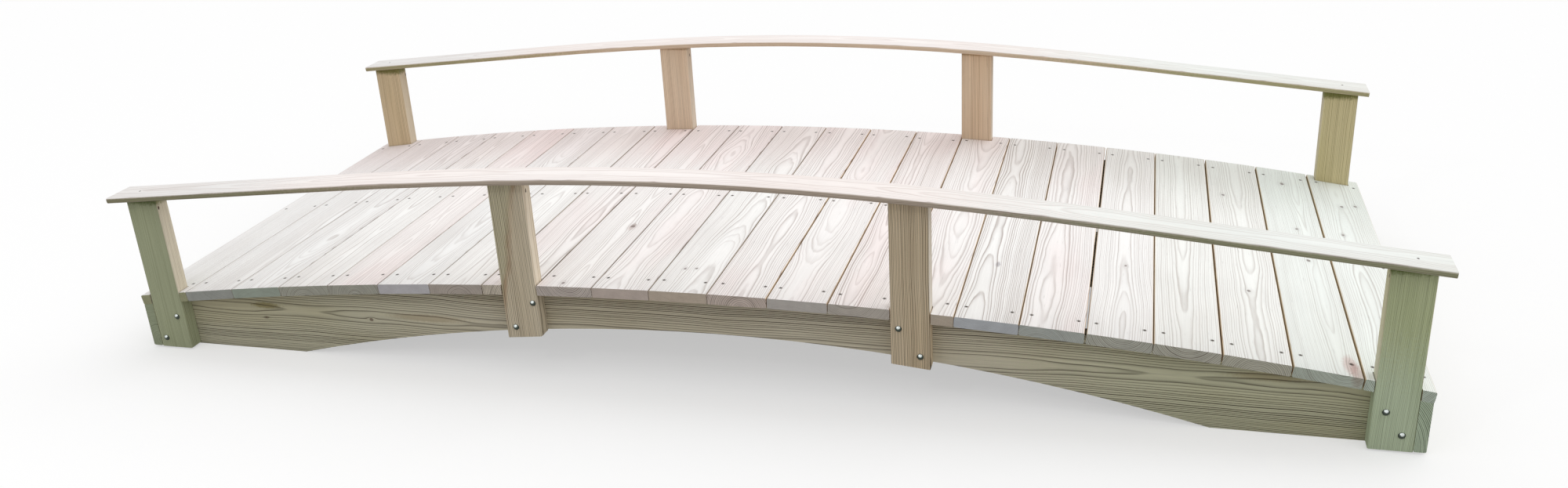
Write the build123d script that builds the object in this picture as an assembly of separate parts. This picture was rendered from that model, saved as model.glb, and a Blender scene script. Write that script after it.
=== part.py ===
from build123d import *
import os
from math import asin, cos, degrees, sin, sqrt, tan

# Arched timber foot bridge for a garden, in millimetres.
# X runs along the walk, Y across it, and Z is up from the ground.
# The origin is on the ground under the middle of the bridge.

# Planed timber
deck_board_width = 139.7
deck_board_thick = 25.4
deck_board_edge = 3.4
joist_thick = 38.1
joist_depth = 234.95
post_width = 88.9
post_thick = 38.1
post_edge = 3.0
rail_width = 88.9
rail_thick = 14.0
rail_edge = 4.5
end_board_thick = 25.4

# Deck
deck_board_count = 22
deck_board_gap = 1.84
deck_width = 1219.2
deck_radius = 10690.0
deck_overhang = 4.0

# Open width of each joint from the left end. The boards were laid at an even
# pitch and have dried unevenly.
deck_joints = (
    1.2, 1.1, 1.1, 1.1, 1.2, 1.2, 2.1, 2.2, 1.3, 1.5, 1.4,
    2.2, 2.0, 1.7, 1.3, 1.6, 4.2, 1.8, 3.2, 3.2, 3.4,
)

# Stringers, each sawn from one joist
stringer_mid_depth = 95.25
foot_length = 404.0

# Posts and handrails
post_height = 265.3
inner_post_boards = 3
inner_post_drop = 1.5
notch_clearance = 1.5
outer_post_lift = 4.0
end_board_lift = 5.0
rail_overhang = 35.0
rail_end_inset = 5.0
rail_mid_radius = 7400.0
rail_side_radius = 12900.0
rail_ease = 445.0

# Places that follow from the sizes
board_pitch = deck_board_width + deck_board_gap
deck_top = joist_depth + deck_board_thick
arc_centre = deck_top - deck_radius
bearing_radius = deck_radius - deck_board_thick
deck_half_angle = (deck_board_count * board_pitch - deck_board_gap) / 2 / deck_radius
deck_half_length = deck_radius * sin(deck_half_angle)
stringer_half_length = deck_half_length - deck_overhang - end_board_thick
foot_inner_x = stringer_half_length - foot_length
arch_rise = joist_depth - stringer_mid_depth
arch_radius = (foot_inner_x**2 + arch_rise**2) / (2 * arch_rise)
side_face = deck_width / 2
stringer_face = side_face - post_thick
outer_post_x = stringer_half_length - post_width / 2
inner_post_x = inner_post_boards * board_pitch + post_width / 2


def bearing_height(x):
    """Height of the stringer's top edge at x."""
    return arc_centre + sqrt(bearing_radius**2 - x**2)


def deck_height(x):
    """Height of the walking surface at x."""
    return arc_centre + sqrt(deck_radius**2 - x**2)


def arch_height(x):
    """Height of the arched underside of the stringers at x."""
    return arch_rise - arch_radius + sqrt(arch_radius**2 - x**2)


# The handrail is one straight board sprung over four posts. Its curve is even
# between the inner posts, opens out beyond them, and has run straight before it
# reaches the outer posts.
rail_ease_x = inner_post_x + rail_ease
rail_mid_angle = asin(inner_post_x / rail_mid_radius)
rail_end_angle = asin(sin(rail_mid_angle) + rail_ease / rail_side_radius)
rail_seat = deck_height(inner_post_x) + post_height
rail_crown = rail_seat + rail_mid_radius * (1 - cos(rail_mid_angle))
rail_ease_seat = rail_seat - rail_side_radius * (cos(rail_mid_angle) - cos(rail_end_angle))
rail_end_x = deck_half_length - rail_end_inset


def rail_underside(x):
    """Height of the handrail's underside at x."""
    reach = abs(x)
    if reach <= inner_post_x:
        return rail_crown - rail_mid_radius + sqrt(rail_mid_radius**2 - reach**2)
    if reach >= rail_ease_x:
        return rail_ease_seat - (reach - rail_ease_x) * tan(rail_end_angle)
    side_centre = inner_post_x - rail_side_radius * sin(rail_mid_angle)
    side_base = rail_seat - rail_side_radius * cos(rail_mid_angle)
    return side_base + sqrt(rail_side_radius**2 - (reach - side_centre) ** 2)


def standing_solid(outline, y_low, y_high):
    """A face drawn in X and Z, given its thickness along Y."""
    return extrude(outline.moved(Location((0, y_low, 0))), amount=y_high - y_low, dir=(0, 1, 0))


def save(solid, name):
    solid.label = name
    export_step(solid, "parts/" + name + ".step")


def board_reach(index):
    """How far a board reaches to the left and to the right of its place."""
    left = right = deck_board_width / 2
    if index > 0:
        left = (board_pitch - deck_joints[index - 1]) / 2
    if index < deck_board_count - 1:
        right = (board_pitch - deck_joints[index]) / 2
    return left, right


def deck_board(index):
    """One board across the deck, tangent to the arc, notched where a post passes it."""
    angle = (index - (deck_board_count - 1) / 2) * board_pitch / deck_radius
    left, right = board_reach(index)
    board = Box(left + right, deck_width, deck_board_thick)
    board = fillet(board.edges().filter_by(Axis.Y), deck_board_edge)
    board = board.moved(Location(((right - left) / 2, 0, 0)))
    mid_radius = deck_radius - deck_board_thick / 2
    on_arc = Location((0, 0, arc_centre)) * Rotation(0, degrees(angle), 0) * Location((0, 0, mid_radius))
    board = board.moved(on_arc)
    reach = (deck_board_width + post_width) / 2
    for post_x in post_places:
        if abs(mid_radius * sin(angle) - post_x) < reach:
            board = board - post_notches(post_x)
    return board


def post_notches(post_x):
    """What a pair of posts takes out of the two ends of a deck board."""
    size_x = post_width + 2 * notch_clearance
    size_y = 2 * (post_thick + notch_clearance)
    block = Box(size_x, size_y, 4 * deck_board_thick)
    height = bearing_height(post_x)
    return [block.moved(Location((post_x, side * side_face, height))) for side in (-1, 1)]


def stringer(y_low, y_high):
    """Arched beam on two flat feet, sawn from one joist."""
    end_top = bearing_height(stringer_half_length)
    top = ThreePointArc(
        (-stringer_half_length, 0, end_top),
        (0, 0, joist_depth),
        (stringer_half_length, 0, end_top),
    )
    arch = ThreePointArc((foot_inner_x, 0, 0), (0, 0, arch_rise), (-foot_inner_x, 0, 0))
    right_end = Line(top @ 1, (stringer_half_length, 0, 0))
    right_foot = Line(right_end @ 1, arch @ 0)
    left_foot = Line(arch @ 1, (-stringer_half_length, 0, 0))
    left_end = Line(left_foot @ 1, top @ 0)
    outline = Face(Wire([top, right_end, right_foot, arch, left_foot, left_end]))
    return standing_solid(outline, y_low, y_high)


def post(x, side):
    """Upright bolted to the outer stringer, its top cut to the sprung handrail."""
    low_x = x - post_width / 2
    high_x = x + post_width / 2
    if abs(x) < foot_inner_x:
        low_z = arch_height(low_x) - inner_post_drop
        high_z = arch_height(high_x) - inner_post_drop
    else:
        low_z = outer_post_lift
        high_z = outer_post_lift
    corners = [
        (low_x, 0, low_z),
        (high_x, 0, high_z),
        (high_x, 0, rail_underside(high_x)),
        (low_x, 0, rail_underside(low_x)),
    ]
    outline = Face(Wire(Polyline(*corners, close=True).edges()))
    faces = sorted((side * stringer_face, side * side_face))
    upright = standing_solid(outline, faces[0], faces[1])
    return fillet(upright.edges().filter_by(Axis.Z), post_edge)


def rail_curve(lift):
    """The handrail's line, lifted square to itself, from its left end to its right end."""
    mid_radius = rail_mid_radius + lift
    side_radius = rail_side_radius + lift
    mid_centre = rail_crown - rail_mid_radius
    side_centre_x = inner_post_x - rail_side_radius * sin(rail_mid_angle)
    side_centre_z = rail_seat - rail_side_radius * cos(rail_mid_angle)

    def mid_point(angle):
        return (mid_radius * sin(angle), 0, mid_centre + mid_radius * cos(angle))

    def side_point(angle, way):
        reach = side_centre_x + side_radius * sin(angle)
        return (way * reach, 0, side_centre_z + side_radius * cos(angle))

    half_angle = (rail_mid_angle + rail_end_angle) / 2
    inner = {way: mid_point(way * rail_mid_angle) for way in (-1, 1)}
    outer = {way: side_point(rail_end_angle, way) for way in (-1, 1)}
    straight = (rail_end_x - rail_ease_x) / cos(rail_end_angle)
    ends = {}
    for way in (-1, 1):
        end_x = outer[way][0] + way * straight * cos(rail_end_angle)
        ends[way] = (end_x, 0, outer[way][2] - straight * sin(rail_end_angle))
    return [
        Line(ends[-1], outer[-1]),
        ThreePointArc(outer[-1], side_point(half_angle, -1), inner[-1]),
        ThreePointArc(inner[-1], mid_point(0), inner[1]),
        ThreePointArc(inner[1], side_point(half_angle, 1), outer[1]),
        Line(outer[1], ends[1]),
    ]


def handrail(side):
    """Flat board sprung over the post tops, with rounded edges."""
    under = rail_curve(0)
    upper = rail_curve(rail_thick)
    ends = [Line(under[-1] @ 1, upper[-1] @ 1), Line(under[0] @ 0, upper[0] @ 0)]
    outline = Face(Wire(under + upper + ends))
    faces = sorted((side * (side_face + rail_overhang - rail_width), side * (side_face + rail_overhang)))
    rail = standing_solid(outline, faces[0], faces[1])
    long_edges = []
    for edge in rail.edges():
        along_y = abs((edge @ 1).Y - (edge @ 0).Y) > rail_width / 2
        upright = abs((edge @ 1).X - (edge @ 0).X) < 2 * rail_thick
        if not along_y and not upright:
            long_edges.append(edge)
    return fillet(long_edges, rail_edge)


def end_board(side):
    """Board on edge across the stringer ends, its top bevelled to the last deck board."""
    near_x = stringer_half_length
    far_x = stringer_half_length + end_board_thick
    tilt = (deck_board_count - 1) / 2 * board_pitch / deck_radius
    seat_x = bearing_radius * sin(tilt)
    seat_z = arc_centre + bearing_radius * cos(tilt)
    near_z = seat_z - (near_x - seat_x) * tan(tilt)
    far_z = seat_z - (far_x - seat_x) * tan(tilt)
    corners = [
        (side * near_x, 0, end_board_lift),
        (side * far_x, 0, end_board_lift),
        (side * far_x, 0, far_z),
        (side * near_x, 0, near_z),
    ]
    outline = Face(Wire(Polyline(*corners, close=True).edges()))
    board = standing_solid(outline, -side_face, side_face)
    lower_edges = board.edges().filter_by(Axis.Y).sort_by(Axis.Z)[:2]
    return fillet(lower_edges, deck_board_edge)


post_places = (-outer_post_x, -inner_post_x, inner_post_x, outer_post_x)
side_names = {-1: "front", 1: "back"}
end_names = {-1: "left", 1: "right"}

os.makedirs("parts", exist_ok=True)

for number in range(deck_board_count):
    save(deck_board(number), "deck_board_%02d" % (number + 1))

save(stringer(-joist_thick / 2, joist_thick / 2), "stringer_middle")
for side, side_name in side_names.items():
    faces = sorted((side * stringer_face, side * (stringer_face - joist_thick)))
    save(stringer(faces[0], faces[1]), "stringer_" + side_name)
    save(handrail(side), "handrail_" + side_name)
    for number, place in enumerate(post_places):
        save(post(place, side), "post_%s_%d" % (side_name, number + 1))

for side, end_name in end_names.items():
    save(end_board(side), "end_board_" + end_name)
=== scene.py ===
from math import asin, copysign, cos, pi, radians, sin, sqrt, tan
import random

import bpy
from mathutils import Matrix, Vector
import numpy as np


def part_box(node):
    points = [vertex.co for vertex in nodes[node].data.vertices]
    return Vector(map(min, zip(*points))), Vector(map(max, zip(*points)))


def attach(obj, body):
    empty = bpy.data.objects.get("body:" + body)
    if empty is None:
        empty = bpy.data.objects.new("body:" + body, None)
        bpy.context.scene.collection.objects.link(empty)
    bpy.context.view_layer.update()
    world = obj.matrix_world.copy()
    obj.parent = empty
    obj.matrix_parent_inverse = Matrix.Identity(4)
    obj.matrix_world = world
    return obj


# Looks of the arched timber foot bridge, in metres, in the frame of the CAD.
# X runs along the walk, Y across it with the near side at -Y, and Z is up.

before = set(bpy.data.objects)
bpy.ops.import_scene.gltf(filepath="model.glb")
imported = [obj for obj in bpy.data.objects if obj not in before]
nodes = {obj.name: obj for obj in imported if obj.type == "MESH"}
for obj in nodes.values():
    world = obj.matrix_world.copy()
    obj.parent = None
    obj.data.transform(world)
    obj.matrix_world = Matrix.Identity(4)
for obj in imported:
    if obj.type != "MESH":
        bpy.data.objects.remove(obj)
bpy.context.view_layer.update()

# Places and sizes of the frame's pieces
stringer_low, stringer_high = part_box("stringer_front")
inner_low, inner_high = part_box("post_front_3")
outer_low, outer_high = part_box("post_front_4")
end_low, end_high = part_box("end_board_right")
rail_low, rail_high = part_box("handrail_front")
stringer_half_length = stringer_high.x
stringer_face = -stringer_low.y
joist_thick = stringer_high.y - stringer_low.y
side_face = -inner_low.y
post_width = inner_high.x - inner_low.x
inner_post_x = (inner_low.x + inner_high.x) / 2
outer_post_x = (outer_low.x + outer_high.x) / 2
post_mid_y = (stringer_face + side_face) / 2
end_board_thick = end_high.x - end_low.x
rail_mid_y = -(rail_low.y + rail_high.y) / 2

# Sizes repeated from the part, where the frame's boxes don't show them
joist_depth = 0.23495
deck_board_width = 0.1397
deck_board_gap = 0.00184
deck_board_thick = 0.0254
deck_board_count = 22
deck_radius = 10.690
post_height = 0.2653
rail_thick = 0.014
rail_mid_radius = 7.4
rail_side_radius = 12.9
rail_ease = 0.445
rail_end_inset = 0.001

# Places that follow from the sizes
board_pitch = deck_board_width + deck_board_gap
arc_centre = joist_depth + deck_board_thick - deck_radius
sides = ((-1, "front"), (1, "back"))
post_places = (-outer_post_x, -inner_post_x, inner_post_x, outer_post_x)
rail_ease_x = inner_post_x + rail_ease
rail_end_x = stringer_half_length + end_board_thick - rail_end_inset
rail_mid_angle = asin(inner_post_x / rail_mid_radius)

# Nails: the rows over the stringers, the pairs on a deck board, and the rail's nails
nail_row_y = stringer_face - joist_thick / 2
nail_offset_x = 0.0508
rail_nail_x = 1.4805

# How far each post's toe nail stands from its middle, towards the outside, and how far
# under the rail it goes in
toe_nail_in = (0.0148, 0.0025, 0.0060, 0.0100)
toe_nail_drop = 0.031


def deck_height(x):
    """Height of the walking surface at x."""
    return arc_centre + sqrt(deck_radius**2 - x**2)


rail_crown = deck_height(inner_post_x) + post_height + rail_mid_radius * (1 - cos(rail_mid_angle))


def rail_line(x):
    """Height of a handrail's underside at x, and how far it slopes there.

    It is an arc between the inner posts, a flatter one beyond them, and then straight.
    """
    reach = abs(x)
    if reach <= inner_post_x:
        angle = asin(reach / rail_mid_radius)
        return rail_crown - rail_mid_radius * (1 - cos(angle)), copysign(angle, x)
    eased = min(reach, rail_ease_x) - inner_post_x
    angle = asin(sin(rail_mid_angle) + eased / rail_side_radius)
    side_crown = rail_crown - (rail_mid_radius - rail_side_radius) * (1 - cos(rail_mid_angle))
    height = side_crown - rail_side_radius * (1 - cos(angle))
    return height - max(reach - rail_ease_x, 0.0) * tan(angle), copysign(angle, x)


def even_rail_curve(samples=400):
    """The rail's line as a polynomial in x squared, lowest power first, within 0.2 mm."""
    places = np.linspace(0.0, rail_end_x, samples)
    heights = [rail_line(x)[0] for x in places]
    return [float(term) for term in np.polynomial.polynomial.polyfit(places**2, heights, 3)]


def toe_nail(place):
    """Where the nail that holds a post to its rail goes in, on the side facing the middle."""
    x = post_places[place]
    face = x - post_width / 2 if x > 0 else x + post_width / 2
    return face, rail_line(face)[0] - toe_nail_drop


def deck_angle(index):
    """How far a deck board leans, counted from the left end."""
    return (index - (deck_board_count - 1) / 2) * board_pitch / deck_radius


def on_deck(index, across, along, above=0.0):
    """Where a deck board's own point is, turned as the board is."""
    middle = deck_radius - deck_board_thick / 2
    turn = Matrix.Rotation(deck_angle(index), 4, "Y")
    centre = Matrix.Translation((0.0, 0.0, arc_centre))
    return centre @ turn @ Matrix.Translation((across, along, middle + above))


def srgb(red, green, blue):
    """A colour as it is written for a screen, 0 to 255, as linear values."""
    def linear(value):
        value /= 255
        return value / 12.92 if value <= 0.04045 else ((value + 0.055) / 1.055) ** 2.4
    return (linear(red), linear(green), linear(blue), 1.0)


white = (1.0, 1.0, 1.0, 1.0)


def tinted(colour, tint):
    """A colour multiplied by a tint."""
    return tuple(c * t for c, t in zip(colour[:3], tint)) + (1.0,)


class Graph:
    """Adds nodes to a tree. An input is a number, a tuple or another node's socket."""

    def __init__(self, tree):
        self.tree = tree

    def node(self, kind, **settings):
        made = self.tree.nodes.new(kind)
        for name, value in settings.items():
            setattr(made, name, value)
        return made

    def feed(self, socket, value):
        """Links a socket to another, or sets it to a plain value. None leaves it as it is."""
        if isinstance(value, bpy.types.NodeSocket):
            self.tree.links.new(value, socket)
        elif value is not None:
            socket.default_value = value

    def math(self, operation, *values, clamp=False):
        made = self.node("ShaderNodeMath", operation=operation, use_clamp=clamp)
        for socket, value in zip(made.inputs, values):
            self.feed(socket, value)
        return made.outputs[0]

    def times(self, a, b, clamp=False):
        return self.math("MULTIPLY", a, b, clamp=clamp)

    def minus(self, a, b):
        return self.math("SUBTRACT", a, b)

    def size(self, value):
        return self.math("ABSOLUTE", value)

    def total(self, *values):
        result = values[0]
        for value in values[1:]:
            result = self.math("ADD", result, value)
        return result

    def vector(self, operation, a, b=None, scale=None):
        made = self.node("ShaderNodeVectorMath", operation=operation)
        self.feed(made.inputs[0], a)
        self.feed(made.inputs[1], b)
        if scale is not None:
            self.feed(made.inputs["Scale"], scale)
        return made.outputs["Value" if operation == "LENGTH" else "Vector"]

    def split(self, vector):
        made = self.node("ShaderNodeSeparateXYZ")
        self.feed(made.inputs[0], vector)
        return tuple(made.outputs)

    def join(self, x, y, z):
        made = self.node("ShaderNodeCombineXYZ")
        for socket, value in zip(made.inputs, (x, y, z)):
            self.feed(socket, value)
        return made.outputs[0]

    def noise(self, place, scale=1.0, detail=2.0, rough=0.5):
        made = self.node("ShaderNodeTexNoise", noise_dimensions="3D")
        self.feed(made.inputs["Vector"], place)
        made.inputs["Scale"].default_value = scale
        made.inputs["Detail"].default_value = detail
        made.inputs["Roughness"].default_value = rough
        return made.outputs["Fac"]

    def stretched_noise(self, place, scales, detail=2.0, rough=0.5):
        """Noise of another scale along each axis."""
        return self.noise(self.vector("MULTIPLY", place, scales), 1.0, detail, rough)

    def centred(self, value, size):
        """A noise value moved to swing evenly about nought."""
        return self.times(self.minus(value, 0.5), size)

    def span(self, value, low, high, to_low=0.0, to_high=1.0, smooth=True):
        """A value's way from low to high, as a way from to_low to to_high, and no further."""
        made = self.node("ShaderNodeMapRange", interpolation_type="SMOOTHSTEP" if smooth else "LINEAR")
        for name, number in (("Value", value), ("From Min", low), ("From Max", high),
                             ("To Min", to_low), ("To Max", to_high)):
            self.feed(made.inputs[name], number)
        return made.outputs[0]

    def ramp(self, value, stops):
        """A grey level by straight steps. Each stop is (value, level)."""
        made = self.node("ShaderNodeValToRGB")
        points = made.color_ramp.elements
        while len(points) < len(stops):
            points.new(0.5)
        for point, (place, level) in zip(points, stops):
            point.position = place
            point.color = (level, level, level, 1.0)
        self.feed(made.inputs[0], value)
        return made.outputs[0]

    def mix(self, share, a, b, blend="MIX"):
        """A colour between a and b. Its node's colour sockets are 6, 7 and 2."""
        made = self.node("ShaderNodeMix", data_type="RGBA", blend_type=blend)
        self.feed(made.inputs[0], share)
        self.feed(made.inputs[6], a)
        self.feed(made.inputs[7], b)
        return made.outputs[2]


def group_tree(name, vectors, numbers, colours, outputs):
    """An empty node group. Its numbers and colours come with their usual values."""
    tree = bpy.data.node_groups.new(name, "ShaderNodeTree")
    for label in vectors:
        tree.interface.new_socket(label, in_out="INPUT", socket_type="NodeSocketVector")
    for kind, values in (("Float", numbers), ("Color", colours)):
        for label, value in values.items():
            socket = tree.interface.new_socket(label, in_out="INPUT", socket_type="NodeSocket" + kind)
            socket.default_value = value
    for label, kind in outputs.items():
        tree.interface.new_socket(label, in_out="OUTPUT", socket_type="NodeSocket" + kind)
    graph = Graph(tree)
    return graph, graph.node("NodeGroupInput").outputs, graph.node("NodeGroupOutput").inputs


def use_group(graph, tree, **values):
    """Adds a group and feeds its inputs. An underscore stands for a space in a label."""
    made = graph.node("ShaderNodeGroup", node_tree=tree)
    for label, value in values.items():
        graph.feed(made.inputs[label.replace("_", " ")], value)
    return made.outputs


def knot_group():
    """Grain that flows round a knot, and the knot itself.

    The grain across the board is pushed aside as a stream is by a round post.
    """
    flow_stretch = 0.42
    knot_stretch = 0.75
    least = 1e-7
    graph, given, result = group_tree(
        "knot", ("Point", "Place"), {"Radius": 0.006}, {},
        {"Point": "Vector", "Knot": "Float", "Near": "Float"})
    u, v, w = graph.split(given["Point"])
    place_u, place_v, _ = graph.split(given["Place"])
    wobble = graph.noise(given["Point"], 90.0, 2.0)
    across = graph.minus(u, place_u)
    along = graph.minus(v, place_v)
    square = graph.times(across, across)
    eased = graph.times(along, flow_stretch)
    flow = graph.total(square, graph.times(eased, eased))
    reach = graph.times(given["Radius"], given["Radius"])
    keep = graph.minus(1.0, graph.math("DIVIDE", reach, graph.total(flow, least)))
    keep = graph.math("MAXIMUM", keep, 0.0)
    moved = graph.total(place_u, graph.times(across, keep))
    graph.feed(result["Point"], graph.join(moved, v, w))
    slim = graph.times(along, knot_stretch)
    away = graph.math("SQRT", graph.total(square, graph.times(slim, slim)))
    away = graph.math("DIVIDE", away, given["Radius"])
    away = graph.total(away, graph.centred(wobble, 1.3))
    graph.feed(result["Knot"], graph.span(away, 1.05, 0.55))
    graph.feed(result["Near"], graph.span(away, 3.6, 0.8))
    return graph.tree


# How the noises of the wood are stretched: their scale across, along and through it
fibre_scales = (520.0, 9.0, 520.0)
streak_scales = (130.0, 3.2, 130.0)
drift_scales = (9.0, 2.2, 9.0)
speck_scales = (300.0, 22.0, 300.0)
swell_scales = (2.5, 2.6, 2.5)
ripple_scales = (26.0, 5.5, 26.0)

# How strongly they shade it
fibre_shade = 0.16
streak_shade = 0.14
speck_shade = 0.13
pore_shade = 0.42
blotch_shade = 0.30
knot_shade = 0.80
near_knot_shade = 0.10
# The dark round the deck nails: bruised wood, and painted shade of the recess round each head
bruise_and_shade_strength = 0.55
bruise_and_shade_colour = (0.10, 0.085, 0.07, 1.0)


def pine_group():
    """Sawn pine in a board's own frame: X across it, Y along the grain, Z through it.

    The growth rings lie round a pith line near or outside the board, so faces,
    edges and ends show one and the same log.
    """
    graph, given, result = group_tree(
        "pine", ("Point", "Face", "Pith"),
        {"Ring": 0.005, "Growth": 0.0, "Rise": 0.0, "Wander": 0.006, "Seed": 0.0, "Line": 1.0,
         "End Line": 0.9, "Bleach": 0.0, "Side Bleach": 0.0, "Side Start": -1.0, "Rough Sawn": 1.0,
         "Knot": 0.0, "Near Knot": 0.0, "Mark": 0.0},
        {"Early": white, "Late": white, "Bare Early": white, "Bare Late": white, "End": white,
         "End Late": (0.12, 0.1, 0.08, 1.0), "Side Tint": white, "Knot Colour": (0.19, 0.13, 0.10, 1.0),
         "Drift Colour": (0.9, 0.86, 0.8, 1.0)},
        {"Colour": "Color", "Height": "Float", "Roughness": "Float"})
    u, v, w = graph.split(given["Point"])
    shift = graph.vector("SCALE", (3.17, 1.31, 7.7), scale=given["Seed"])
    place = graph.vector("ADD", given["Point"], shift)
    late, ring_tone, crisp = ring_lines(graph, given, (u, v, w), place, shift)
    fibre = graph.stretched_noise(place, fibre_scales, 3.0, 0.6)
    streak = graph.stretched_noise(place, streak_scales, 2.0, 0.55)
    drift = graph.stretched_noise(place, drift_scales)
    speck = graph.stretched_noise(place, speck_scales, 1.0)
    across, along, out = graph.split(given["Face"])
    end = graph.span(graph.size(along), 0.5, 0.85)
    sideways = graph.span(graph.size(across), 0.25, 0.8)
    start = graph.minus(v, given["Side Start"])
    open_side = graph.times(sideways, graph.span(start, -0.002, 0.006))
    bleached = graph.times(graph.span(out, 0.35, 0.95), given["Bleach"])
    bleached = graph.math("MAXIMUM", bleached, graph.times(open_side, given["Side Bleach"]))
    line = graph.times(graph.times(late, given["Line"]), ring_tone, clamp=True)
    line = graph.times(line, crisp)
    early = graph.mix(bleached, given["Bare Early"], given["Early"])
    dark = graph.mix(bleached, given["Bare Late"], given["Late"])
    colour = graph.mix(line, early, dark)
    colour = graph.mix(sideways, colour, given["Side Tint"], "MULTIPLY")
    colour = graph.mix(graph.span(drift, 0.42, 0.72), colour, given["Drift Colour"], "MULTIPLY")
    shade = graph.total(graph.centred(fibre, fibre_shade), graph.centred(streak, streak_shade))
    shade = graph.math("MULTIPLY_ADD", shade, given["Rough Sawn"], 1.0)
    shade = graph.minus(shade, graph.span(speck, 0.66, 0.80, 0.0, speck_shade))
    colour = graph.mix(1.0, colour, graph.join(shade, shade, shade), "MULTIPLY")
    pore = graph.noise(place, 900.0, 2.0, 0.6)
    blotch = graph.noise(place, 38.0, 2.0, 0.6)
    end_line = graph.times(graph.times(late, ring_tone), given["End Line"], clamp=True)
    end_colour = graph.mix(end_line, given["End"], given["End Late"])
    end_shade = graph.total(1.0, graph.centred(pore, pore_shade), graph.centred(blotch, blotch_shade))
    end_colour = graph.mix(1.0, end_colour, graph.join(end_shade, end_shade, end_shade), "MULTIPLY")
    colour = graph.mix(end, colour, end_colour)
    smoky = graph.times(given["Near Knot"], near_knot_shade)
    colour = graph.mix(smoky, colour, given["Knot Colour"])
    colour = graph.mix(graph.times(given["Knot"], knot_shade), colour, given["Knot Colour"])
    # Round the nails: bruised wood with painted shade
    colour = graph.mix(graph.times(given["Mark"], bruise_and_shade_strength), colour, bruise_and_shade_colour)
    graph.feed(result["Colour"], colour)
    height = graph.total(graph.times(line, 0.45), graph.times(fibre, 0.55),
                         graph.times(given["Knot"], -0.6),
                         graph.times(given["Mark"], -1.0))
    graph.feed(result["Height"], height)
    rough = graph.total(0.70, graph.times(fibre, 0.16), graph.times(end, 0.1))
    graph.feed(result["Roughness"], rough)
    return graph.tree


def ring_lines(graph, given, point, place, shift):
    """How late in its year a point grew, how dark that year is, and how steeply it meets the face."""
    u, v, w = point
    pith_u, _, pith_w = graph.split(given["Pith"])
    along = graph.vector("ADD", graph.join(0.0, v, 0.0), shift)
    sway = graph.centred(graph.noise(along, 1.5, 1.0), 3.2)
    swell = graph.centred(graph.stretched_noise(place, swell_scales, 1.0), 2.6)
    across = graph.minus(u, graph.total(pith_u, graph.times(sway, given["Wander"])))
    deep = graph.minus(w, graph.total(pith_w, graph.times(v, given["Rise"])))
    square = graph.total(graph.times(across, across), graph.times(deep, deep))
    radius = graph.math("SQRT", square)
    ripple = graph.centred(graph.stretched_noise(place, ripple_scales), 0.0042)
    radius = graph.total(radius, graph.times(swell, given["Wander"]), ripple)
    crowding = graph.total(1.0, graph.times(radius, given["Growth"]))
    years = graph.times(graph.math("DIVIDE", radius, given["Ring"]), crowding)
    uneven = graph.noise(graph.join(years, given["Seed"], 0.0), 0.9, 1.0)
    years = graph.total(years, graph.centred(uneven, 1.1))
    season = graph.math("FRACT", years)
    late = graph.ramp(season, [(0.0, 0.15), (0.06, 0.0), (0.42, 0.05), (0.66, 0.30), (0.82, 0.85),
                               (0.91, 1.0), (0.975, 0.45), (1.0, 0.15)])
    chance = graph.node("ShaderNodeTexWhiteNoise", noise_dimensions="2D")
    graph.feed(chance.inputs["Vector"], graph.join(graph.math("FLOOR", years), given["Seed"], 0.0))
    tone = graph.span(chance.outputs["Value"], 0.0, 1.0, 0.55, 1.1, smooth=False)
    steep = graph.math("DIVIDE", graph.size(across), radius)
    return late, tone, graph.span(steep, 0.0, 0.32, 0.5, 1.0)


# Outer and inner radius of the dark round each deck nail: bruise and painted shade
nail_bruise_and_shade_reach = 0.0062
nail_hole = 0.0030


def nail_group():
    """Bruised wood round the nails of a deck board, and painted shade of the recess round each head, in the
    board's own frame.
    """
    graph, given, result = group_tree("nail_marks", ("Point", "Shift"), {}, {}, {"Mark": "Float"})
    u, v, w = graph.split(graph.vector("SUBTRACT", given["Point"], given["Shift"]))
    across = graph.minus(graph.size(u), nail_offset_x)
    reach = graph.size(v)
    outer = graph.size(graph.minus(reach, nail_row_y))
    row = graph.math("MINIMUM", reach, outer)
    away = graph.math("SQRT", graph.total(graph.times(across, across), graph.times(row, row)))
    above = graph.span(w, 0.006, 0.010)
    graph.feed(result["Mark"], graph.times(graph.span(away, nail_bruise_and_shade_reach, nail_hole), above))
    return graph.tree


pine = pine_group()
knot = knot_group()
nail_marks = nail_group()

# Which of the frame's axes run across the board, along its grain and through it
grain_axes = {"deck": (0, 1, 2), "post": (0, 2, 1), "stringer": (2, 0, 1), "rail": (1, 0, 2),
              "end_board": (2, 1, 0)}


def board_frame(graph, axes, place, tilt, bend=None):
    """A point and the surface's direction in the board's own frame."""
    coords = graph.node("ShaderNodeTexCoord")
    moved = graph.node("ShaderNodeMapping", vector_type="TEXTURE")
    moved.inputs["Location"].default_value = place
    moved.inputs["Rotation"].default_value = (0.0, tilt, 0.0)
    graph.feed(moved.inputs["Vector"], coords.outputs["Object"])
    turned = graph.node("ShaderNodeMapping", vector_type="TEXTURE")
    turned.inputs["Rotation"].default_value = (0.0, tilt, 0.0)
    graph.feed(turned.inputs["Vector"], coords.outputs["Normal"])
    parts = list(graph.split(moved.outputs[0]))
    if bend:
        square = graph.times(parts[0], parts[0])
        lift = bend[-1]
        for term in reversed(bend[:-1]):
            lift = graph.math("MULTIPLY_ADD", lift, square, term)
        parts[2] = graph.minus(parts[2], lift)
    faces = graph.split(turned.outputs[0])
    point = graph.join(*(parts[axis] for axis in axes))
    face = graph.join(*(faces[axis] for axis in axes))
    return point, face


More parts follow.
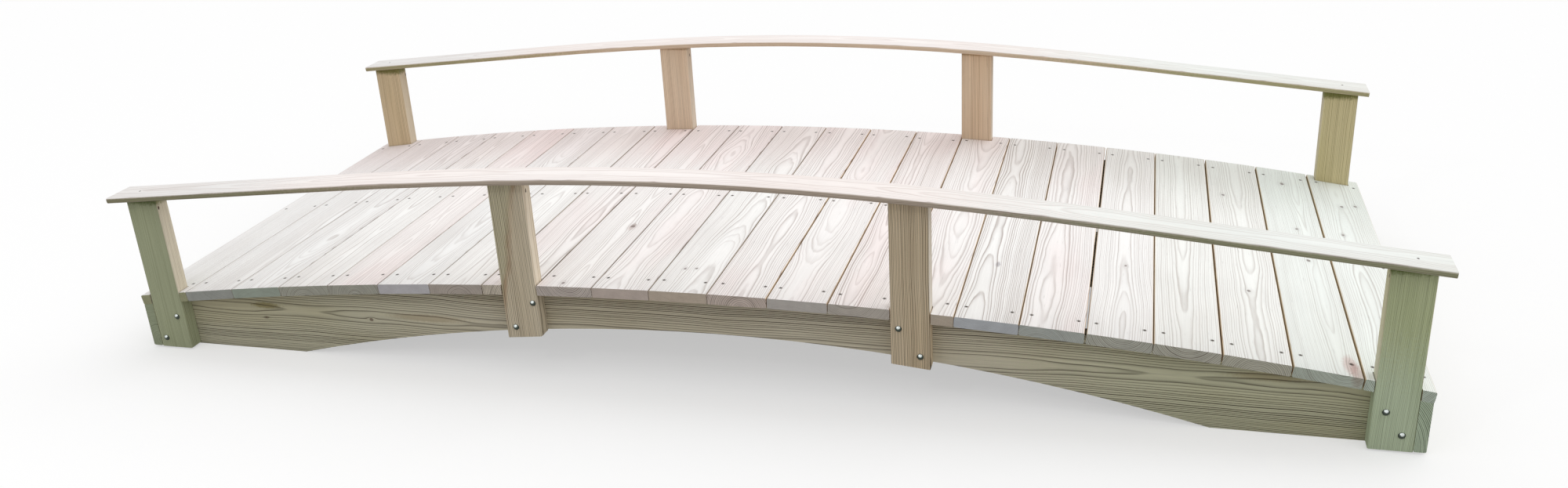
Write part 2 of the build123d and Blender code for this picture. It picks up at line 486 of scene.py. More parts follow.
def spotted(graph, point, colour, spots):
    """Stains, and painted shade in nail holes and under rails: each spot is (centre, reach, colour,
    strength) in the board's frame.
    """
    ragged = graph.centred(graph.noise(point, 160.0, 2.0, 0.6), 0.7)
    for centre, reach, tint, strength in spots:
        away = graph.vector("DIVIDE", graph.vector("SUBTRACT", point, centre), reach)
        away = graph.total(graph.vector("LENGTH", away), ragged)
        share = graph.times(graph.span(away, 1.15, 0.45), strength)
        colour = graph.mix(share, colour, tint, "MULTIPLY")
    return colour


def streaked(graph, point, colour, streak):
    """A dark streak along a board, and a tint for all that lies to its left."""
    place, lean, width, dark, left = streak
    across, along, _ = graph.split(point)
    sway = graph.centred(graph.noise(graph.join(0.0, along, 0.0), 9.0, 2.0), 0.022)
    side = graph.total(across, sway, -place, graph.times(along, -lean))
    fringe = graph.centred(graph.stretched_noise(point, (240.0, 14.0, 240.0), 2.0), 0.006)
    side = graph.total(side, fringe)
    colour = graph.mix(graph.span(side, 0.002, -0.006), colour, left, "MULTIPLY")
    share = graph.span(graph.size(side), width, 0.0)
    patchy = graph.span(graph.stretched_noise(point, (60.0, 11.0, 60.0), 2.0), 0.3, 0.65, 0.35, 1.0)
    return graph.mix(graph.times(share, patchy), colour, dark, "MULTIPLY")


def new_material(name):
    """A material, its node graph and its shader."""
    material = bpy.data.materials.new(name)
    material.use_nodes = True
    return material, Graph(material.node_tree), material.node_tree.nodes["Principled BSDF"]


grain_relief = 0.0005
relief_strength = 0.7
wood_gloss = 0.25


def dress(node, kind, place, tilt=0.0, bend=None, knots=(), nails=None, spots=(), streak=None, **look):
    """Gives a piece its pine material. look holds the values of the pine group's inputs."""
    material, graph, shader = new_material(node)
    shader.inputs["Specular IOR Level"].default_value = wood_gloss
    point, face = board_frame(graph, grain_axes[kind], place, tilt, bend)
    board_point = point
    knot_share, near_share = 0.0, 0.0
    if nails is not None:
        look["Mark"] = use_group(graph, nail_marks, Point=point, Shift=(nails[0], nails[1], 0.0))["Mark"]
    for across, along, radius in knots:
        found = use_group(graph, knot, Point=point, Place=(across, along, 0.0), Radius=radius)
        point = found["Point"]
        knot_share = graph.math("MAXIMUM", knot_share, found["Knot"])
        near_share = graph.math("MAXIMUM", near_share, found["Near"])
    look = {"Point": point, "Face": face, "Knot": knot_share, "Near_Knot": near_share, **look}
    found = use_group(graph, pine, **look)
    colour = found["Colour"]
    if streak:
        colour = streaked(graph, board_point, colour, streak)
    if spots:
        colour = spotted(graph, board_point, colour, spots)
    graph.feed(shader.inputs["Base Color"], colour)
    graph.feed(shader.inputs["Roughness"], found["Roughness"])
    bump = graph.node("ShaderNodeBump")
    bump.inputs["Distance"].default_value = grain_relief
    bump.inputs["Strength"].default_value = relief_strength
    graph.feed(bump.inputs["Height"], found["Height"])
    graph.feed(shader.inputs["Normal"], bump.outputs[0])
    nodes[node].data.materials.clear()
    nodes[node].data.materials.append(material)


# Tints of the bleached tops: pink in the middle, grey on the left, green on the right
plain = (1.0, 1.0, 1.0)
pink = (1.0, 0.984, 0.986)
rosy = (1.0, 0.966, 0.966)
green = (0.948, 0.994, 0.974)
pale_green = (0.982, 0.998, 0.984)
grey = (0.968, 0.972, 0.978)

top_early = srgb(253, 252, 250)
top_late = srgb(193, 184, 179)
side_early = srgb(214, 201, 178)
side_late = srgb(112, 90, 68)
end_late = srgb(104, 92, 82)

# The sides of the boards, browner in the wide joints of the right half
joint_grey = (0.78, 0.78, 0.82, 1.0)
joint_brown = (0.98, 0.88, 0.76, 1.0)
brown_from = 12

# Deck boards from the left end: pith across and through the board, ring width, rise of
# the pith for each metre, strength of the lines on top, tint of the top, strength of the
# lines at the ends, colour of the ends
deck_looks = [
    (-0.150, -0.040, 0.0034, 0.009, 0.90, grey, 0.95, (176, 178, 142)),
    (0.060, 0.055, 0.0036, -0.011, 0.90, grey, 0.45, (171, 174, 169)),
    (0.012, -0.096, 0.0034, 0.012, 0.90, grey, 0.30, (166, 176, 164)),
    (-0.002, -0.024, 0.0042, 0.010, 0.85, plain, 0.90, (180, 181, 169)),
    (-0.003, -0.028, 0.0044, -0.009, 0.85, rosy, 0.90, (180, 180, 169)),
    (0.010, -0.120, 0.0032, 0.012, 0.80, grey, 0.22, (199, 197, 201)),
    (0.008, -0.036, 0.0046, -0.013, 0.85, plain, 0.60, (188, 178, 169)),
    (0.046, -0.040, 0.0060, 0.010, 0.85, pink, 1.00, (214, 204, 188)),
    (0.012, 0.037, 0.0048, 0.009, 0.90, pink, 0.95, (207, 197, 190)),
    (-0.015, -0.110, 0.0034, -0.009, 0.90, pink, 0.28, (203, 189, 180)),
    (0.035, 0.130, 0.0034, 0.012, 0.80, plain, 0.28, (199, 185, 169)),
    (0.008, -0.030, 0.0054, -0.012, 1.00, pink, 0.95, (212, 197, 188)),
    (-0.020, -0.105, 0.0034, 0.014, 0.85, pink, 0.28, (194, 189, 184)),
    (-0.026, 0.046, 0.0042, -0.012, 0.95, rosy, 0.60, (196, 189, 180)),
    (0.015, -0.075, 0.0044, 0.013, 0.85, pink, 0.30, (194, 181, 165)),
    (-0.030, 0.062, 0.0046, 0.012, 1.30, plain, 0.22, (192, 196, 201)),
    (-0.024, -0.052, 0.0052, -0.012, 0.90, pink, 0.50, (184, 189, 184)),
    (0.000, 0.044, 0.0050, 0.013, 0.85, plain, 0.95, (192, 193, 182)),
    (-0.005, 0.040, 0.0054, -0.014, 0.68, pale_green, 0.95, (194, 193, 180)),
    (0.010, -0.026, 0.0052, 0.012, 0.80, pale_green, 0.95, (196, 195, 180)),
    (0.028, 0.040, 0.0036, -0.008, 0.62, green, 0.95, (194, 204, 192)),
    (-0.003, 0.056, 0.0048, 0.014, 0.66, green, 0.95, (196, 210, 196)),
]

# Knots of the deck: board number, place across and along it, radius
deck_knots = [
    (9, 0.0321, -0.233, 0.0072), (9, -0.0084, -0.588, 0.0050),
    (11, -0.0238, -0.479, 0.0042), (11, 0.0028, -0.475, 0.0040),
    (18, 0.0042, -0.228, 0.0042),
    (20, 0.0014, -0.269, 0.0052), (20, -0.0307, 0.338, 0.0055),
    (21, 0.0515, -0.5545, 0.0052), (21, -0.0056, 0.495, 0.0060), (21, 0.0056, 0.168, 0.0042),
    (21, 0.0154, -0.030, 0.0055),
    (22, 0.0014, 0.389, 0.0060), (22, 0.0377, 0.407, 0.0052), (22, -0.0196, 0.179, 0.0048),
]

# Stains of the deck: board number, centre, reach, colour, strength
deck_stains = [
    (9, (0.0321, -0.240, 0.0127), (0.012, 0.024, 0.030), srgb(226, 208, 202), 0.4),
    (16, (-0.0070, -0.309, 0.0127), (0.0065, 0.018, 0.030), srgb(205, 203, 206), 1.0),
    (21, (0.047, -0.560, 0.0127), (0.017, 0.050, 0.030), srgb(228, 202, 200), 0.7),
    (21, (0.058, -0.590, 0.0127), (0.015, 0.052, 0.030), srgb(226, 204, 200), 0.75),
]

# The far ends of the boards are a little duller: pink up to one board, grey from another
far_pink = srgb(252, 244, 244)
far_grey = srgb(241, 243, 241)
far_pink_to = 9
far_grey_from = 19
far_centre = (0.0, 0.70, 0.0127)
far_reach = (1.0, 0.52, 1.0)

deck_knot_colour = srgb(132, 120, 116)
pink_patches = (0.985, 0.942, 0.942, 1.0)
dull_patches = (0.955, 0.945, 0.940, 1.0)


def far_stain(index):
    """The dull far end of a board, between the pink of the left and the grey of the right."""
    share = min(max((index - far_pink_to) / (far_grey_from - far_pink_to), 0.0), 1.0)
    colour = tuple(a + (b - a) * share for a, b in zip(far_pink, far_grey))
    return far_centre, far_reach, colour, 1.0


def dress_deck():
    """Gives each board its own wood, and returns how far its nails stray."""
    rng = random.Random(22)
    nail_shifts = []
    for index, look in enumerate(deck_looks):
        across, through, ring, rise, line, tint, end_line, end = look
        shift = (rng.uniform(-0.0028, 0.0028), rng.uniform(-0.004, 0.004))
        nail_shifts.append(shift)
        own_knots = [spot[1:] for spot in deck_knots if spot[0] == index + 1]
        own_stains = [far_stain(index)]
        own_stains += [spot[1:] for spot in deck_stains if spot[0] == index + 1]
        patches = pink_patches if tint in (pink, rosy) else dull_patches
        dress(
            "deck_board_%02d" % (index + 1), "deck",
            place=on_deck(index, 0.0, 0.0).to_translation(), tilt=deck_angle(index),
            knots=own_knots, nails=shift, spots=own_stains,
            Pith=(across, 0.0, through), Ring=ring, Growth=3.0, Rise=rise,
            Wander=rng.uniform(0.0045, 0.0075), Seed=1.7 + 2.3 * index,
            Early=tinted(top_early, tint), Late=tinted(top_late, tint),
            Bare_Early=tinted(side_early, tint), Bare_Late=tinted(side_late, tint),
            Bleach=1.0, Line=line, End=srgb(*end), End_Late=end_late, End_Line=end_line,
            Side_Tint=joint_brown if index + 1 >= brown_from else joint_grey,
            Drift_Colour=patches, Knot_Colour=deck_knot_colour)
    return nail_shifts


# Posts: early and late colour of the faces, early colour of the narrow sides, which they take above the
# deck, drift colour, pith across and through, ring width, rise of the pith, strength of the lines
post_looks = {
    "front_1": ((183, 189, 157), (117, 119, 86), (222, 212, 192), (0.92, 0.94, 0.86),
                -0.070, 0.060, 0.0026, 0.006, 0.85),
    "front_2": ((227, 215, 191), (104, 86, 66), (240, 228, 208), (0.92, 0.90, 0.87),
                -0.150, 0.046, 0.0065, 0.006, 1.0),
    "front_3": ((226, 208, 179), (66, 48, 30), (236, 230, 220), (0.94, 0.91, 0.86),
                -0.150, 0.012, 0.0054, 0.002, 1.2),
    "front_4": ((206, 220, 192), (122, 130, 98), (216, 216, 198), (0.92, 0.94, 0.88),
                0.120, 0.070, 0.0034, 0.005, 0.85),
    "back_1": ((226, 206, 172), (160, 130, 96), (226, 214, 194), (0.95, 0.92, 0.86),
                0.095, 0.050, 0.0036, 0.004, 0.95),
    "back_2": ((234, 212, 186), (160, 130, 102), (232, 218, 200), (0.95, 0.90, 0.86),
                -0.090, -0.060, 0.0034, 0.006, 0.95),
    "back_3": ((232, 208, 180), (154, 120, 92), (230, 216, 198), (0.95, 0.91, 0.86),
                0.130, 0.030, 0.0046, 0.003, 1.0),
    "back_4": ((220, 208, 164), (148, 130, 88), (222, 214, 190), (0.93, 0.93, 0.84),
                0.075, -0.045, 0.0036, 0.008, 0.95),
}
post_mid_height = 0.27

# The second near post has a brown streak that crosses it, and is greener left of that
post_streak = (-0.027, 0.196, 0.0125, (0.74, 0.62, 0.54, 1.0), (0.90, 0.95, 0.90, 1.0))

# The last near post is browner above the deck
post_upper = ((0.0, 0.17, 0.0), (1.0, 0.28, 1.0), (0.93, 0.88, 0.74, 1.0), 1.0)

# Painted shade where a rail shelters its post: depth and colour, greener at the outer posts
outer_rail_shade = (0.022, srgb(152, 162, 122))
inner_rail_shade = (0.009, srgb(206, 200, 186))
rail_shade_reach = 0.15
# The toe nails' holes are painted shade: reach and colour of the dark
toe_hole_reach = (0.0030, 0.0062, 0.0030)
toe_hole_shade = srgb(92, 66, 48)


def dress_posts():
    for number, (name, look) in enumerate(post_looks.items()):
        early, late, narrow, drift, across, through, ring, rise, line = look
        side, place = name.split("_")
        place = int(place) - 1
        way = -1 if side == "front" else 1
        early, late, narrow = srgb(*early), srgb(*late), srgb(*narrow)
        face, nail_z = toe_nail(place)
        hole = (face - post_places[place], nail_z - post_mid_height, way * toe_nail_in[place])
        # Painted shade under the rail, deeper and greener at the outer posts
        depth, painted_shade = outer_rail_shade if abs(face) > inner_post_x + post_width else inner_rail_shade
        top = rail_line(post_places[place])[0] - post_mid_height
        # The first spot is painted shade in the toe nail's hole
        own_stains = [(hole, toe_hole_reach, toe_hole_shade, 1.0),
                      ((0.0, top, 0.0), (rail_shade_reach, depth, rail_shade_reach), painted_shade, 1.0)]
        if name == "front_4":
            own_stains.append(post_upper)
        dress(
            "post_" + name, "post", place=(post_places[place], way * post_mid_y, post_mid_height),
            spots=own_stains, streak=post_streak if name == "front_2" else None,
            Pith=(across, 0.0, way * through), Ring=ring, Growth=2.0, Rise=rise, Wander=0.003,
            Rough_Sawn=1.8, Seed=61.3 + 3.1 * number, Early=narrow, Late=tinted(narrow, (0.70, 0.64, 0.56)),
            Bare_Early=early, Bare_Late=late, Side_Bleach=0.9,
            Side_Start=deck_height(post_places[place]) - post_mid_height, Line=line,
            End=tinted(early, (0.72, 0.72, 0.70)), End_Late=late, Drift_Colour=drift + (1.0,))


# Stringers: which side of the middle, ring width, knots as (height, place along, radius)
stringer_looks = {
    "front": (-1, 0.0058, ((0.0914, -1.2153, 0.003), (0.108, -0.9082, 0.005))),
    "middle": (0, 0.0046, ((0.12, 0.31, 0.006),)),
    "back": (1, 0.0050, ((0.15, -0.55, 0.007), (0.17, 0.83, 0.006))),
}
stringer_early = srgb(217, 209, 188)
stringer_late = srgb(54, 42, 29)
stringer_mid_height = 0.1175

# Stains of the stringers, each (height over the middle, place along, depth), reach, colour,
# strength: the greener ends of all three, then dark patches of the near one
end_stains = [
    ((0.0, -1.45, 0.0), (1.0, 0.85, 1.0), (0.96, 1.0, 0.95, 1.0), 1.0),
    ((0.0, 1.45, 0.0), (1.0, 0.85, 1.0), (0.93, 1.0, 0.90, 1.0), 1.0),
]
dark_patches = [
    ((0.0085, -1.210, 0.0), (0.0100, 0.050, 1.0), (0.60, 0.56, 0.42, 1.0), 1.0),
    ((0.0065, -0.750, 0.0), (0.0120, 0.120, 1.0), (0.80, 0.74, 0.68, 1.0), 0.9),
    ((0.0175, 1.229, 0.0), (0.0120, 0.095, 1.0), (0.80, 0.74, 0.66, 1.0), 1.0),
]


def dress_stringers():
    for number, (side, (way, ring, knots)) in enumerate(stringer_looks.items()):
        own_knots = [(height - stringer_mid_height, along, radius) for height, along, radius in knots]
        dress(
            "stringer_" + side, "stringer", place=(0.0, way * nail_row_y, stringer_mid_height),
            knots=own_knots, spots=end_stains + dark_patches if side == "front" else end_stains,
            Pith=(0.002, 0.0, -(way or 1) * 0.005), Ring=ring, Growth=2.0, Wander=0.0065,
            Seed=101.9 + 5.3 * number, Bare_Early=stringer_early, Bare_Late=stringer_late,
            Line=1.15, Rough_Sawn=2.4,
            End=tinted(stringer_early, (0.75, 0.75, 0.72)), Drift_Colour=(0.90, 0.88, 0.82, 1.0))


# Handrails: early and late colour of the edges, and the stains of the ends and of the
# edges that face the near side: centre, reach, colour, strength
rail_looks = {
    "front": (srgb(197, 183, 168), srgb(112, 94, 80)),
    "back": (srgb(222, 200, 176), srgb(170, 142, 114)),
}
rail_early = srgb(251, 245, 242)
rail_late = srgb(212, 198, 193)
rail_end = srgb(212, 204, 192)
rail_stains = [
    ((0.0, -1.56, 0.007), (0.3, 0.62, 0.3), srgb(239, 243, 244), 1.0),
    ((0.0, 1.56, 0.007), (0.3, 1.05, 0.3), srgb(244, 253, 252), 1.0),
    ((-0.046, -1.30, -0.001), (0.005, 0.66, 0.0078), srgb(206, 216, 186), 0.9),
    ((-0.046, 1.35, -0.001), (0.005, 0.80, 0.0078), srgb(216, 228, 200), 0.9),
]


def dress_rails():
    for number, (side, (early, late)) in enumerate(rail_looks.items()):
        way = -1 if side == "front" else 1
        dress(
            "handrail_" + side, "rail", place=(0.0, way * rail_mid_y, rail_thick / 2),
            bend=even_rail_curve(), spots=rail_stains,
            Pith=(0.004, 0.0, -0.062), Ring=0.0042, Growth=3.0, Rise=0.006, Wander=0.006,
            Seed=151.3 + 7.9 * number, Early=rail_early, Late=rail_late,
            Bare_Early=early, Bare_Late=late, Bleach=1.0, Line=0.8,
            End=rail_end, Drift_Colour=(0.97, 0.95, 0.94, 1.0))


# End boards: pith over the middle and outwards, ring width, end colour, strength of the
# lines at the end
end_board_looks = {
    "left": (-0.050, 0.020, 0.0046, (164, 172, 144), 0.40),
    "right": (-0.065, -0.133, 0.0035, (190, 206, 180), 1.0),
}
end_board_early = srgb(200, 202, 172)
end_board_late = srgb(134, 128, 94)
end_board_end_late = srgb(66, 76, 62)
end_board_mid_height = 0.07


def dress_end_boards():
    for number, (side, (above, out, ring, end, end_line)) in enumerate(end_board_looks.items()):
        middle = (-1 if side == "left" else 1) * (stringer_half_length + end_board_thick / 2)
        dress(
            "end_board_" + side, "end_board", place=(middle, 0.0, end_board_mid_height),
            Pith=(above, 0.0, out), Ring=ring, Rise=0.01, Wander=0.004, Seed=181.7 + 4.4 * number,
            Bare_Early=end_board_early, Bare_Late=end_board_late, Line=0.85, End=srgb(*end),
            End_Late=end_board_end_late, End_Line=end_line, Drift_Colour=(0.92, 0.93, 0.86, 1.0))


def metal(name, colour, painted_shade, rough, spot):
    """Mottled steel. A bolt's head has a painted highlight on its upper, outer part and painted shade all
    round it.
    """
    material, graph, shader = new_material(name)
    shader.inputs["Metallic"].default_value = 1.0
    coords = graph.node("ShaderNodeTexCoord").outputs
    mottle = graph.noise(coords["Object"], spot, 3.0, 0.6)
    _, out, up = graph.split(coords["Normal"])
    # Painted light: a highlight where the surface faces up and outwards, painted shade elsewhere
    toward_light = graph.total(graph.times(up, 0.62),
                         graph.times(graph.size(out), 0.80),
                         graph.centred(mottle, 0.1))
    painted_highlight = graph.span(toward_light, 0.79, 0.97)
    dull = graph.mix(graph.span(mottle, 0.4, 0.75), colour, tinted(colour, (0.72, 0.71, 0.68)))
    graph.feed(shader.inputs["Base Color"], graph.mix(painted_highlight, painted_shade, dull))
    graph.feed(shader.inputs["Roughness"], graph.span(mottle, 0.3, 0.7, rough, rough + 0.15))
    return material


crease_angle = 38


def new_object(name, data):
    """An object in the scene that shows a mesh, a lamp or a camera."""
    made = bpy.data.objects.new(name, data)
    bpy.context.scene.collection.objects.link(made)
    return made


def lathe(profile, steps):
    """Points and faces of a closed shape turned round Z. The profile starts and ends on the axis."""
    points = [(0.0, 0.0, profile[0][1])]
    for radius, height in profile[1:-1]:
        for step in range(steps):
            angle = 2 * pi * step / steps
            points.append((radius * cos(angle), radius * sin(angle), height))
    points.append((0.0, 0.0, profile[-1][1]))
    rows = len(profile) - 2
    last = len(points) - 1
    faces = []
    for step in range(steps):
        after = (step + 1) % steps
        faces.append((0, 1 + step, 1 + after))
        for row in range(rows - 1):
            low, high = 1 + row * steps, 1 + (row + 1) * steps
            faces.append((low + step, high + step, high + after, low + after))
        low = 1 + (rows - 1) * steps
        faces.append((low + step, last, low + after))
    return points, faces


def stamp(name, shapes, places, material):
    """One piece made of copies of some shapes. Each shape is (points, faces)."""
    points, faces = [], []
    for place in places:
        for shape_points, shape_faces in shapes:
            start = len(points)
            points += [place @ Vector(point) for point in shape_points]
            faces += [[start + corner for corner in face] for face in shape_faces]
    mesh = bpy.data.meshes.new(name)
    mesh.from_pydata(points, [], faces)
    mesh.materials.append(material)
    mesh.polygons.foreach_set("use_smooth", [True] * len(faces))
    mesh.set_sharp_from_angle(angle=radians(crease_angle))
    mesh.validate()
    mesh.update()
    piece = new_object(name, mesh)
    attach(piece, "root")


# Quarter inch carriage bolts
bolt_radius = 0.0075
bolt_rise = 0.0043
bolt_rim = 0.0006
shank_radius = 0.0031
shank_length = 0.0105
thread_turns = 7
nut_width = 0.0111
nut_height = 0.0056
nut_chamfer = 0.0012
washer_radius = 0.0093
washer_thick = 0.0016
washer_edge = 0.0004
sink = 0.001

# Two bolts in each post from the left, as the near side shows them: how far each
# stands from the post's middle, and its height
bolt_spots = (
    ((0.0223, 0.0941), (-0.0256, 0.0296)),
    ((0.0323, 0.2063), (-0.0203, 0.1388)),
    ((-0.0262, 0.2067), (0.0221, 0.1406)),
    ((-0.0178, 0.0935), (0.0185, 0.0415)),
)
far_bolt_spread = 0.0015


def dome_profile(radius, rise, steps=7):
    """A carriage bolt's head: a low dome on a thin rim."""
    ball = (radius**2 + rise**2) / (2 * rise)
    reach = asin(radius / ball)
    points = []
    for step in range(steps + 1):
        angle = reach * step / steps
        points.append((ball * sin(angle), ball * cos(angle) - ball + rise + bolt_rim))
    return [*points, (radius, 0.0), (radius * 0.7, -sink), (0.0, -sink)]


def threaded_profile(radius, length, turns):
    """A bolt's threaded end, with its thread as shallow ribs."""
    bevel = radius * 0.25
    root = radius * 0.84
    pitch = (length - 2 * bevel) / turns
    points = [(0.0, length), (radius * 0.8, length), (radius, length - bevel)]
    for turn in range(turns):
        height = length - bevel - pitch * turn
        points += [(radius, height - pitch * 0.15), (root, height - pitch * 0.5),
                   (radius, height - pitch * 0.85)]
    return [*points, (radius, 0.0), (0.0, 0.0)]


def washer_profile():
    return [(0.0, washer_thick), (washer_radius - washer_edge, washer_thick),
            (washer_radius, washer_thick - washer_edge), (washer_radius, 0.0), (0.0, 0.0)]


def hex_nut(width, height, hole, steps=24):
    """A nut with its corners turned off, open for the bolt, standing on its washer."""
    corner = width / sqrt(3)
    turned = width / 2 * 0.97
    points, faces = [], []
    rings = ((hole, height), (turned, height), (corner, height - nut_chamfer), (corner, nut_chamfer),
             (turned, 0.0), (hole, 0.0))
    for radius, level in rings:
        for step in range(steps):
            angle = 2 * pi * step / steps
            flat = (angle + pi / 6) % (pi / 3) - pi / 6
            reach = radius if radius != corner else width / 2 / cos(flat)
            points.append((reach * cos(angle), reach * sin(angle), level + washer_thick))
    for ring in range(len(rings)):
        low, high = ring * steps, (ring + 1) % len(rings) * steps
        for step in range(steps):
            after = (step + 1) % steps
            faces.append((low + step, high + step, high + after, low + after))
    return points, faces


def bolt_places(side):
    """The bolts of one side. The far side's are a little off the near side's."""
    rng = random.Random(7 + side)
    spread = far_bolt_spread if side > 0 else 0.0
    places = []
    for x, spots in zip(post_places, bolt_spots):
        for across, height in spots:
            places.append((x + across + rng.uniform(-spread, spread),
                           height + rng.uniform(-spread, spread), rng.uniform(0, pi)))
    return places


def facing(x, y, z, way, turn):
    """A place on an upright face that looks along Y, for a shape that stands on Z."""
    upright = Matrix.Rotation(-way * pi / 2, 4, "X")
    return Matrix.Translation((x, y, z)) @ upright @ Matrix.Rotation(turn, 4, "Z")


def add_bolts(zinc):
    inner = stringer_face - joist_thick
    head = lathe(dome_profile(bolt_radius, bolt_rise), 32)
    washer = lathe(washer_profile(), 32)
    end = lathe(threaded_profile(shank_radius, shank_length, thread_turns), 20)
    nut = hex_nut(nut_width, nut_height, shank_radius * 0.97)
    for side, name in sides:
        spots = bolt_places(side)
        heads = [facing(x, side * side_face, z, side, turn) for x, z, turn in spots]
        backs = [facing(x, side * inner, z, -side, turn) for x, z, turn in spots]
        stamp("bolt_heads_" + name, [head], heads, zinc)
        stamp("bolt_nuts_" + name, [washer, nut, end], backs, zinc)


# Nails: radius of each kind's head, lean and sink of the toe nails, heights of the end nails
deck_nail = 0.0033
rail_nail = 0.0030
toe_nail_head = 0.0022
toe_nail_lean = 0.12
toe_nail_sink = 0.0015
end_nail_heights = (0.036, 0.091)
end_nail_spread = 0.004


def nail_shape(radius):
    """A nail's flat head, a fifth of a millimetre proud."""
    return lathe([(0.0, 0.00022), (radius * 0.55, 0.00022), (radius * 0.88, 0.00014), (radius, -0.0002),
                  (radius * 0.9, -0.0012), (0.0, -0.0012)], 18)


def add_deck_nails(steel, nail_shifts):
    rng = random.Random(41)
    rows = {"front": -nail_row_y, "middle": 0.0, "back": nail_row_y}
    for name, along in rows.items():
        places = []
        for index, (shift_x, shift_y) in enumerate(nail_shifts):
            for way in (-1, 1):
                x = way * nail_offset_x + shift_x + rng.uniform(-0.0008, 0.0008)
                y = along + shift_y + rng.uniform(-0.0012, 0.0012)
                lean = Matrix.Rotation(rng.uniform(-0.03, 0.03), 4, "X")
                places.append(on_deck(index, x, y, deck_board_thick / 2) @ lean)
        stamp("deck_nails_" + name, [nail_shape(deck_nail)], places, steel)


def add_rail_nails(steel):
    """One nail down through each rail into each outer post."""
    for way, name in sides:
        places = []
        for x in (-rail_nail_x, rail_nail_x):
            height, slope = rail_line(x)
            top = Matrix.Translation((x, way * rail_mid_y, height + rail_thick / cos(slope)))
            places.append(top @ Matrix.Rotation(slope, 4, "Y"))
        stamp("rail_nails_" + name, [nail_shape(rail_nail)], places, steel)


def add_toe_nails(steel):
    """One nail up through each post's inner narrow side into the rail."""
    for way, name in sides:
        places = []
        for place, x in enumerate(post_places):
            face, height = toe_nail(place)
            spot = (face, way * (post_mid_y + toe_nail_in[place]), height - toe_nail_sink)
            inward = -1 if x > 0 else 1
            lean = Matrix.Rotation(inward * (pi / 2 - toe_nail_lean), 4, "Y")
            places.append(Matrix.Translation(spot) @ lean)
        stamp("toe_nails_" + name, [nail_shape(toe_nail_head)], places, steel)


def add_end_nails(steel):
    """Two nails through each end board into each stringer's end."""
    rng = random.Random(67)
    spread = end_nail_spread
    for way, name in ((-1, "left"), (1, "right")):
        places = []
        for y in (-nail_row_y, 0.0, nail_row_y):
            for height in end_nail_heights:
                spot = (way * (stringer_half_length + end_board_thick), y + rng.uniform(-spread, spread),
                        height + rng.uniform(-spread, spread))
                places.append(Matrix.Translation(spot) @ Matrix.Rotation(way * pi / 2, 4, "Y"))
        stamp("end_nails_" + name, [nail_shape(deck_nail)], places, steel)


# The floor: half its width, how far under the feet it lies, the colour that lights the
# object and the one that is seen, and how much the seen one glows
floor_reach = 60.0
floor_drop = 0.0005
floor_lit = (0.40, 0.39, 0.37, 1.0)
floor_seen = (0.97, 0.97, 0.97, 1.0)
floor_glow = 0.5


def seen_share(graph):
    """1 for the rays of the camera, gloss and glass, and 0 for all others."""
    path = graph.node("ShaderNodeLightPath").outputs
    share = graph.math("MAXIMUM", path["Is Camera Ray"], path["Is Glossy Ray"])
    return graph.math("MAXIMUM", share, path["Is Transmission Ray"])


def add_floor():
    """A plain pale floor. The camera and gloss see it white; it throws back less light."""
    mesh = bpy.data.meshes.new("floor")
    corners = [(x * floor_reach, y * floor_reach, 0.0) for x, y in ((-1, -1), (1, -1), (1, 1), (-1, 1))]
    mesh.from_pydata(corners, [], [(0, 1, 2, 3)])
    material, graph, shader = new_material("floor")
    shader.inputs["Roughness"].default_value = 1.0
    shader.inputs["Specular IOR Level"].default_value = 0.0
    seen = seen_share(graph)
    graph.feed(shader.inputs["Base Color"], graph.mix(seen, floor_lit, floor_seen))
    glow = graph.node("ShaderNodeEmission")
    blend = graph.node("ShaderNodeMixShader")
    graph.feed(blend.inputs[0], graph.times(seen, floor_glow))
    graph.feed(blend.inputs[1], shader.outputs[0])
    graph.feed(blend.inputs[2], glow.outputs[0])
    graph.feed(material.node_tree.nodes["Material Output"].inputs[0], blend.outputs[0])
    mesh.materials.append(material)
    floor = new_object("floor", mesh)
    floor.location.z = -floor_drop


# The studio's light: its level at the horizon, and what is added overhead, at both ends,
# at the right and at the back
dome_level = 0.275
dome_overhead = 0.65
dome_ends = 0.50
dome_right = 0.12
dome_back = 0.05


def add_world():
    """A studio dome, seen as white."""
    world = bpy.data.worlds.new("studio")
    bpy.context.scene.world = world
    world.use_nodes = True
    graph = Graph(world.node_tree)
    backdrop = world.node_tree.nodes["Background"]
    direction = graph.node("ShaderNodeTexCoord").outputs["Generated"]
    x, y, z = graph.split(direction)
    light = graph.math("MULTIPLY_ADD", graph.math("MAXIMUM", z, 0.0), dome_overhead, dome_level)
    light = graph.math("MULTIPLY_ADD", graph.times(x, x), dome_ends, light)
    light = graph.math("MULTIPLY_ADD", x, dome_right, light)
    light = graph.math("MULTIPLY_ADD", y, dome_back, light)
    colour = graph.mix(seen_share(graph), graph.join(light, light, light), white)
    graph.feed(backdrop.inputs["Color"], colour)
    backdrop.inputs["Strength"].default_value = 1.0


# Lamps: the direction each shines from, its strength and its width
key_from = (0.42, 0.34, 0.84)
key_energy = 0.66
key_angle = 60
glint_place = (-1.2, -3.4, 3.0)
glint_from = (-1.2, -2.8, 2.8)
glint_energy = 7.0
glint_width = 0.4


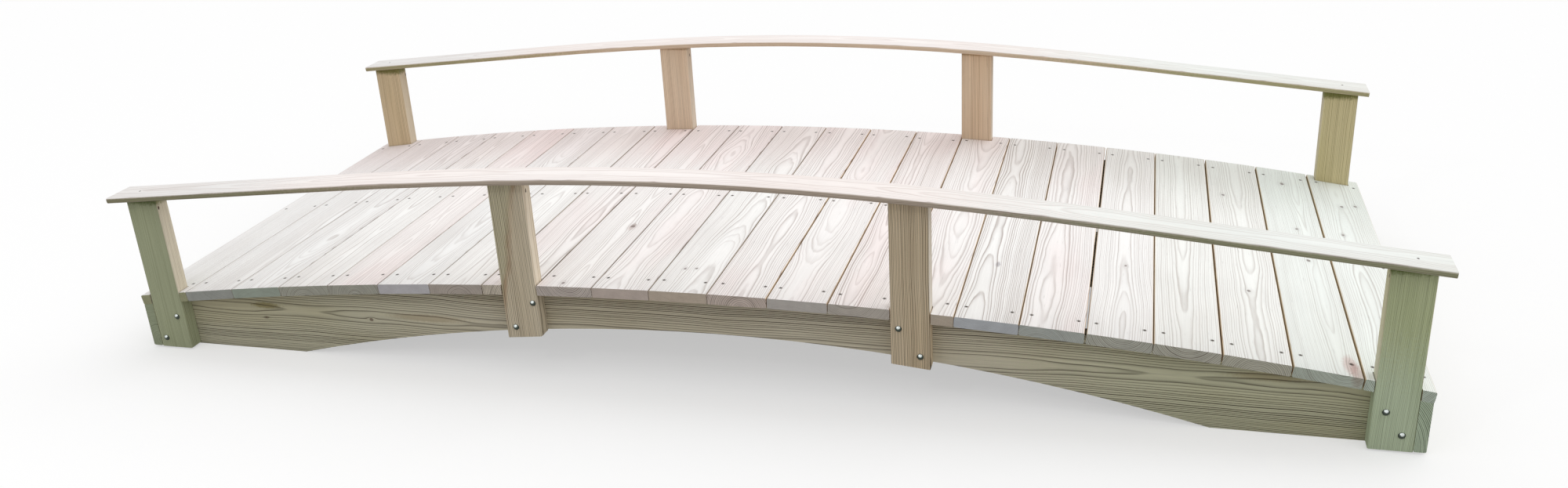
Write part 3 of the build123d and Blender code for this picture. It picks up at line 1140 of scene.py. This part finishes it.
def add_lamp(name, kind, energy, towards):
    """A lamp, and its object, turned to shine from a direction."""
    lamp = bpy.data.lights.new(name, kind)
    lamp.energy = energy
    holder = new_object(name, lamp)
    holder.rotation_euler = Vector(towards).to_track_quat("Z", "Y").to_euler()
    return lamp, holder


def add_lamps():
    """A wide soft key, high at the right and back, and a small lamp for the bolts' glint."""
    key, _ = add_lamp("key", "SUN", key_energy, key_from)
    key.angle = radians(key_angle)
    glint, holder = add_lamp("glint", "AREA", glint_energy, glint_from)
    glint.shape = "DISK"
    glint.size = glint_width
    holder.location = glint_place


# The photograph's viewing angle, found from the joints, posts and rails
camera_place = (0.92819, -3.18072, 1.53683)
camera_yaw = 15.0942
camera_pitch = -22.1602
camera_roll = 2.8395
camera_lens = 30.262
camera_sensor = 36.0
camera_shift = (-0.01155, -0.01429)


def add_camera():
    """A camera that looks along Y before it is turned."""
    turn = Matrix.Rotation(radians(camera_yaw), 3, "Z") @ Matrix.Rotation(radians(camera_pitch), 3, "X")
    turn = turn @ Matrix.Rotation(radians(camera_roll), 3, "Y")
    right, forward, up = turn.col[0], turn.col[1], turn.col[2]
    axes = Matrix((right, up, -forward)).transposed().to_4x4()
    lens = bpy.data.cameras.new("camera")
    lens.sensor_width = camera_sensor
    lens.lens = camera_lens
    lens.shift_x, lens.shift_y = camera_shift
    camera = new_object("camera", lens)
    camera.matrix_world = Matrix.Translation(camera_place) @ axes
    bpy.context.scene.camera = camera


deck_nail_shifts = dress_deck()
dress_posts()
dress_stringers()
dress_rails()
dress_end_boards()
# Zinc and nail steel: bright colour, painted shade, roughness and mottle size
zinc = metal("zinc", srgb(222, 229, 227), srgb(66, 73, 66), 0.22, 260.0)
steel = metal("nail_steel", srgb(104, 98, 92), srgb(80, 72, 64), 0.5, 500.0)
add_bolts(zinc)
add_deck_nails(steel, deck_nail_shifts)
add_rail_nails(steel)
add_toe_nails(steel)
add_end_nails(steel)
add_floor()
add_world()
add_lamps()
add_camera()
bpy.context.scene.view_settings.view_transform = "Standard"
